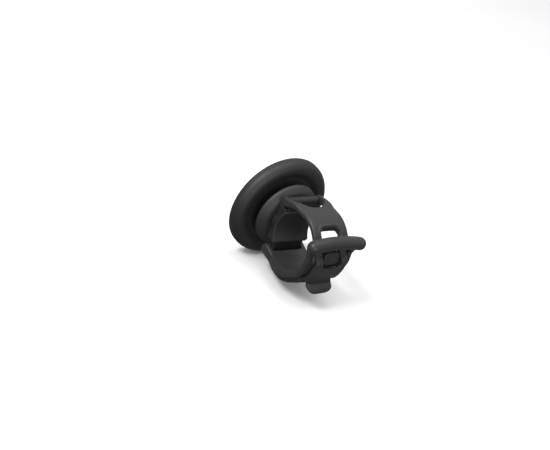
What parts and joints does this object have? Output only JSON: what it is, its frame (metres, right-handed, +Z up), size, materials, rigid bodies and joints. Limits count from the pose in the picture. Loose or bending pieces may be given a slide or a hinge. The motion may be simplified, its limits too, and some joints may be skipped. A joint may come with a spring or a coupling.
{
  "type": "handlebar phone mount",
  "caption": "Magnetic phone mount for a handlebar: round puck on a ball joint, held by a perforated silicone tongue hooked in a buckle band.",
  "frame": {"origin": "on the handlebar's axis, at the middle of the mount", "axes": "+X along the handlebar, +Y from the handlebar to the phone, +Z up"},
  "size_m": [0.0624, 0.0599, 0.0624],
  "materials": {
    "housing": "fine moulded texture, satin black",
    "carrier": "plain moulded",
    "pad": "soft matt silicone",
    "steel": "turned, zinc plated",
    "magnet": "nickel plated",
    "acetal": "natural acetal",
    "collar": "soft-touch charcoal",
    "core": "glass-filled nylon",
    "seal": "nitrile",
    "silicone": "matt charcoal silicone"
  },
  "bodies": {
    "base": {"base_core": "core", "saddle_pad": "pad", "friction_ring": "seal", "tongue_pin": "steel", "band_pin": "steel", "strap_tongue": "silicone", "buckle_band": "silicone", "cross_bar_rod": "steel"},
    "collar": {"joint_collar": "collar"},
    "liner": {"ball_liner": "acetal"},
    "stud": {"ball_stud": "steel", "stud_nut": "steel"},
    "puck": {"puck_housing": "housing", "steel_yoke": "steel", "ring_magnets": "magnet", "magnet_carrier": "carrier", "front_plate": "housing", "face_pad": "pad", "plate_screws": "steel", "wave_washer": "steel"}
  },
  "joints": [
    {"name": "collar_turn", "type": "hinge", "parent": "base", "child": "collar", "pos_m": [0, 0.0242, 0], "axis": [0, 1, 0], "range_deg": [0, 90]},
    {"name": "tilt_side", "type": "hinge", "parent": "base", "child": "liner", "pos_m": [0, 0.0242, 0], "axis": [0, 0, 1], "range_deg": [-10, 10]},
    {"name": "tilt_fore", "type": "hinge", "parent": "liner", "child": "stud", "pos_m": [0, 0.0242, 0], "axis": [1, 0, 0], "range_deg": [-10, 10]},
    {"name": "puck_spin", "type": "hinge", "parent": "stud", "child": "puck", "pos_m": [0, 0.0242, 0], "axis": [0, 1, 0], "continuous": true}
  ]
}
